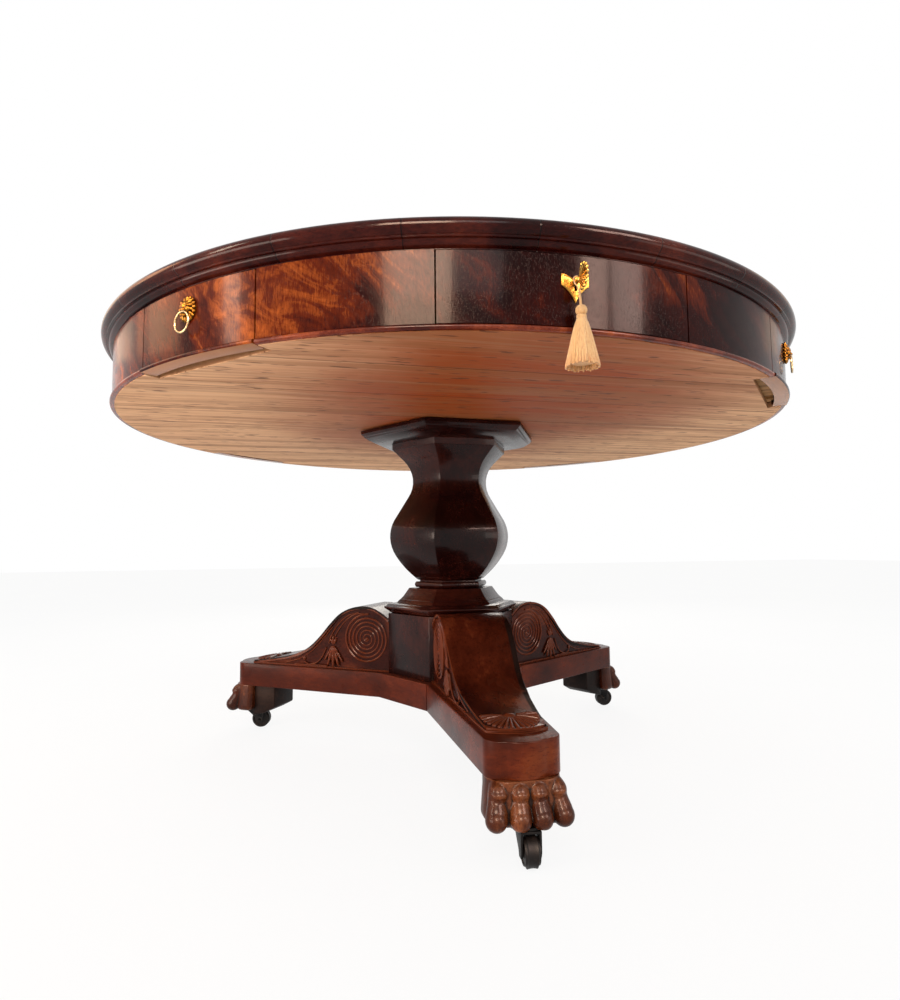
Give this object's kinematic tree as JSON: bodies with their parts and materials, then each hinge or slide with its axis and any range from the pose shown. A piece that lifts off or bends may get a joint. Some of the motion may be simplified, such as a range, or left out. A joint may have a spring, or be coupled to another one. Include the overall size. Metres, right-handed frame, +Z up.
{
  "type": "drum table",
  "caption": "Round revolving drum table with drawers all round its frieze, on a six-sided baluster and a three-armed platform with scroll brackets, paw feet and castors.",
  "frame": {"origin": "on the floor under the drum's vertical axis", "axes": "+Z up along the pivot, -Y out through the front of the drawer that holds the key"},
  "size_m": [1.254, 1.27, 0.742],
  "materials": {
    "top_veneer": "polished",
    "edge_mahogany": "polished",
    "frieze_mahogany": "polished",
    "softwood": "bare",
    "brass": "polished",
    "dark_iron": "dull",
    "castor_brown": "worn",
    "gold_thread": "soft",
    "pedestal_mahogany": "polished"
  },
  "bodies": {
    "base": {"platform": "pedestal_mahogany", "plinth_block": "pedestal_mahogany", "plinth_moulding": "pedestal_mahogany", "column": "pedestal_mahogany", "column_cap": "pedestal_mahogany", "pivot_pin": "dark_iron", "pivot_washer": "dark_iron", "castor_sockets": "dark_iron", "front_scroll_bracket": "pedestal_mahogany", "front_paw": "pedestal_mahogany", "right_scroll_bracket": "pedestal_mahogany", "right_paw": "pedestal_mahogany", "left_scroll_bracket": "pedestal_mahogany", "left_paw": "pedestal_mahogany"},
    "drum": {"top_board": "top_veneer", "top_edge": "edge_mahogany", "frieze_panels": "frieze_mahogany", "frieze_bead": "frieze_mahogany", "bottom_boards": "softwood", "key_drawer_guides": "softwood", "mask_drawer_guides": "softwood", "centre_block": "softwood"},
    "front_drawer": {"front_drawer_face": "frieze_mahogany", "front_drawer_box": "softwood", "front_drawer_lock": "brass"},
    "right_drawer": {"right_drawer_face": "frieze_mahogany", "right_drawer_box": "softwood", "right_drawer_lock": "brass"},
    "back_drawer": {"back_drawer_face": "frieze_mahogany", "back_drawer_box": "softwood", "back_drawer_lock": "brass"},
    "left_drawer": {"left_drawer_face": "frieze_mahogany", "left_drawer_box": "softwood", "left_drawer_lock": "brass"},
    "front_right_drawer": {"front_right_drawer_face": "frieze_mahogany", "front_right_drawer_box": "softwood", "front_right_lion_mask": "brass"},
    "front_right_ring_pull": {"front_right_ring": "brass"},
    "back_right_drawer": {"back_right_drawer_face": "frieze_mahogany", "back_right_drawer_box": "softwood", "back_right_lion_mask": "brass"},
    "back_right_ring_pull": {"back_right_ring": "brass"},
    "back_left_drawer": {"back_left_drawer_face": "frieze_mahogany", "back_left_drawer_box": "softwood", "back_left_lion_mask": "brass"},
    "back_left_ring_pull": {"back_left_ring": "brass"},
    "front_left_drawer": {"front_left_drawer_face": "frieze_mahogany", "front_left_drawer_box": "softwood", "front_left_lion_mask": "brass"},
    "front_left_ring_pull": {"front_left_ring": "brass"},
    "lock_bolt_slide_piece": {"lock_bolt": "brass"},
    "key": {"key": "brass"},
    "tassel": {"tassel_cord": "gold_thread", "tassel": "gold_thread"},
    "front_castor": {"front_castor_fork": "dark_iron"},
    "front_wheel": {"front_castor_wheel": "castor_brown"},
    "right_castor": {"right_castor_fork": "dark_iron"},
    "right_wheel": {"right_castor_wheel": "castor_brown"},
    "left_castor": {"left_castor_fork": "dark_iron"},
    "left_wheel": {"left_castor_wheel": "castor_brown"}
  },
  "joints": [
    {"name": "drum_turn", "type": "hinge", "parent": "base", "child": "drum", "pos_m": [0, 0, 0.62], "axis": [0, 0, 1], "continuous": true},
    {"name": "front_drawer_slide", "type": "slide", "parent": "drum", "child": "front_drawer", "axis": [0, -1, 0], "range_m": [0, 0.3]},
    {"name": "right_drawer_slide", "type": "slide", "parent": "drum", "child": "right_drawer", "axis": [1, 0, 0], "range_m": [0, 0.3]},
    {"name": "back_drawer_slide", "type": "slide", "parent": "drum", "child": "back_drawer", "axis": [0, 1, 0], "range_m": [0, 0.3]},
    {"name": "left_drawer_slide", "type": "slide", "parent": "drum", "child": "left_drawer", "axis": [-1, 0, 0], "range_m": [0, 0.3]},
    {"name": "front_right_drawer_slide", "type": "slide", "parent": "drum", "child": "front_right_drawer", "axis": [0.7071, -0.7071, 0], "range_m": [0, 0.17]},
    {"name": "front_right_ring_swing", "type": "hinge", "parent": "front_right_drawer", "child": "front_right_ring_pull", "pos_m": [0.43735, -0.43735, 0.676], "axis": [-0.7071, -0.7071, 0], "range_deg": [-5, 90]},
    {"name": "back_right_drawer_slide", "type": "slide", "parent": "drum", "child": "back_right_drawer", "axis": [0.7071, 0.7071, 0], "range_m": [0, 0.17]},
    {"name": "back_right_ring_swing", "type": "hinge", "parent": "back_right_drawer", "child": "back_right_ring_pull", "pos_m": [0.43735, 0.43735, 0.676], "axis": [0.7071, -0.7071, 0], "range_deg": [-5, 90]},
    {"name": "back_left_drawer_slide", "type": "slide", "parent": "drum", "child": "back_left_drawer", "axis": [-0.7071, 0.7071, 0], "range_m": [0, 0.17]},
    {"name": "back_left_ring_swing", "type": "hinge", "parent": "back_left_drawer", "child": "back_left_ring_pull", "pos_m": [-0.43735, 0.43735, 0.676], "axis": [0.7071, 0.7071, 0], "range_deg": [-5, 90]},
    {"name": "front_left_drawer_slide", "type": "slide", "parent": "drum", "child": "front_left_drawer", "axis": [-0.7071, -0.7071, 0], "range_m": [0, 0.17]},
    {"name": "front_left_ring_swing", "type": "hinge", "parent": "front_left_drawer", "child": "front_left_ring_pull", "pos_m": [-0.43735, -0.43735, 0.676], "axis": [-0.7071, 0.7071, 0], "range_deg": [-5, 90]},
    {"name": "key_turn", "type": "hinge", "parent": "front_drawer", "child": "key", "pos_m": [0, -0.619, 0.678], "axis": [0, -1, 0], "range_deg": [0, 90]},
    {"name": "bolt_throw", "type": "slide", "parent": "front_drawer", "child": "lock_bolt_slide_piece", "axis": [0, 0, 1], "range_m": [0, 0.008]},
    {"name": "tassel_swing", "type": "hinge", "parent": "front_drawer", "child": "tassel", "pos_m": [0, -0.6165, 0.678], "axis": [0, -1, 0], "range_deg": [-25, 25]},
    {"name": "front_castor_swivel", "type": "hinge", "parent": "base", "child": "front_castor", "pos_m": [-0.01874, -0.46662, 0.06], "axis": [0, 0, 1], "continuous": true},
    {"name": "front_wheel_roll", "type": "hinge", "parent": "front_castor", "child": "front_wheel", "pos_m": [-0.02083, -0.48651, 0.019], "axis": [0.9945, -0.1045, 0], "continuous": true},
    {"name": "right_castor_swivel", "type": "hinge", "parent": "base", "child": "right_castor", "pos_m": [0.41348, 0.21708, 0.06], "axis": [0, 0, 1], "continuous": true},
    {"name": "right_wheel_roll", "type": "hinge", "parent": "right_castor", "child": "right_wheel", "pos_m": [0.43343, 0.21569, 0.019], "axis": [0.0698, 0.9976, 0], "continuous": true},
    {"name": "left_castor_swivel", "type": "hinge", "parent": "base", "child": "left_castor", "pos_m": [-0.39474, 0.24954, 0.06], "axis": [0, 0, 1], "continuous": true},
    {"name": "left_wheel_roll", "type": "hinge", "parent": "left_castor", "child": "left_wheel", "pos_m": [-0.37517, 0.24538, 0.019], "axis": [0.2079, 0.9781, 0], "continuous": true}
  ],
  "couplings": [
    {"joint": "key_turn", "follows": "bolt_throw", "rad_per_m": 196.35}
  ]
}
